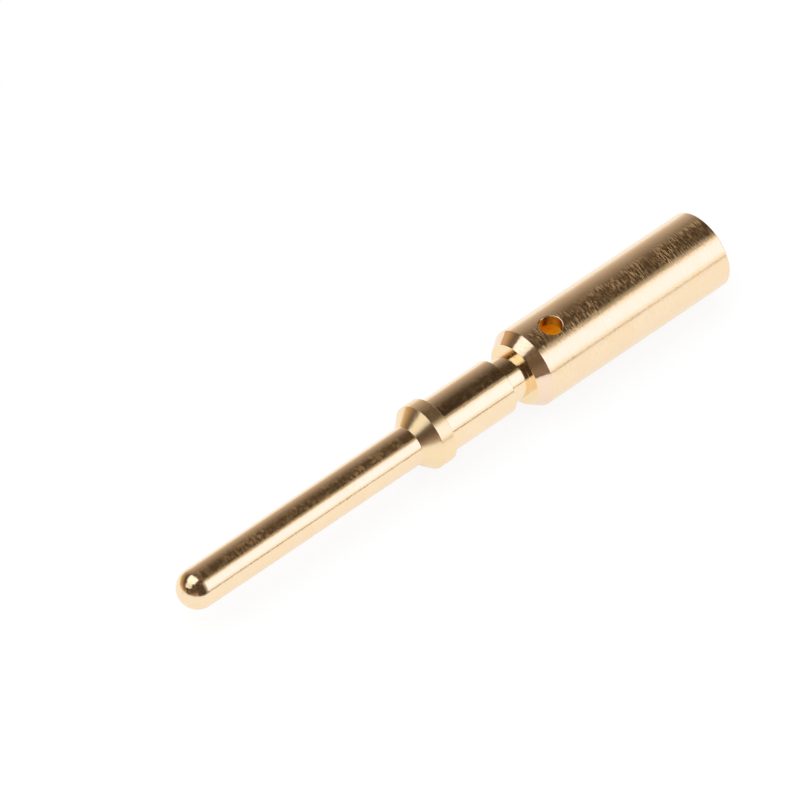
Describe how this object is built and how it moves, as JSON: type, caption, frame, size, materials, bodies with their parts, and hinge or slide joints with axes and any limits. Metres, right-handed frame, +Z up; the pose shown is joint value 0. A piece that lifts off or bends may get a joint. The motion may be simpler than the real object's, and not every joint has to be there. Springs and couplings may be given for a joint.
{
  "type": "crimp pin contact",
  "caption": "Turned one-piece connector contact: a drilled crimp barrel with a funnel mouth and inspection hole, a neck, a collared body and a round-tipped mating pin.",
  "frame": {"origin": "on the axis in the plane of the crimp barrel's mouth, on which the contact stands", "axes": "+Z up along the axis from the barrel's mouth to the pin's tip; the inspection hole faces the front, -Y"},
  "size_m": [0.0032, 0.0032, 0.0265],
  "materials": {
    "gold_plated_brass": "polished gold plating over fine turning marks"
  },
  "bodies": {
    "root": {"crimp_contact": "gold_plated_brass"}
  },
  "joints": []
}
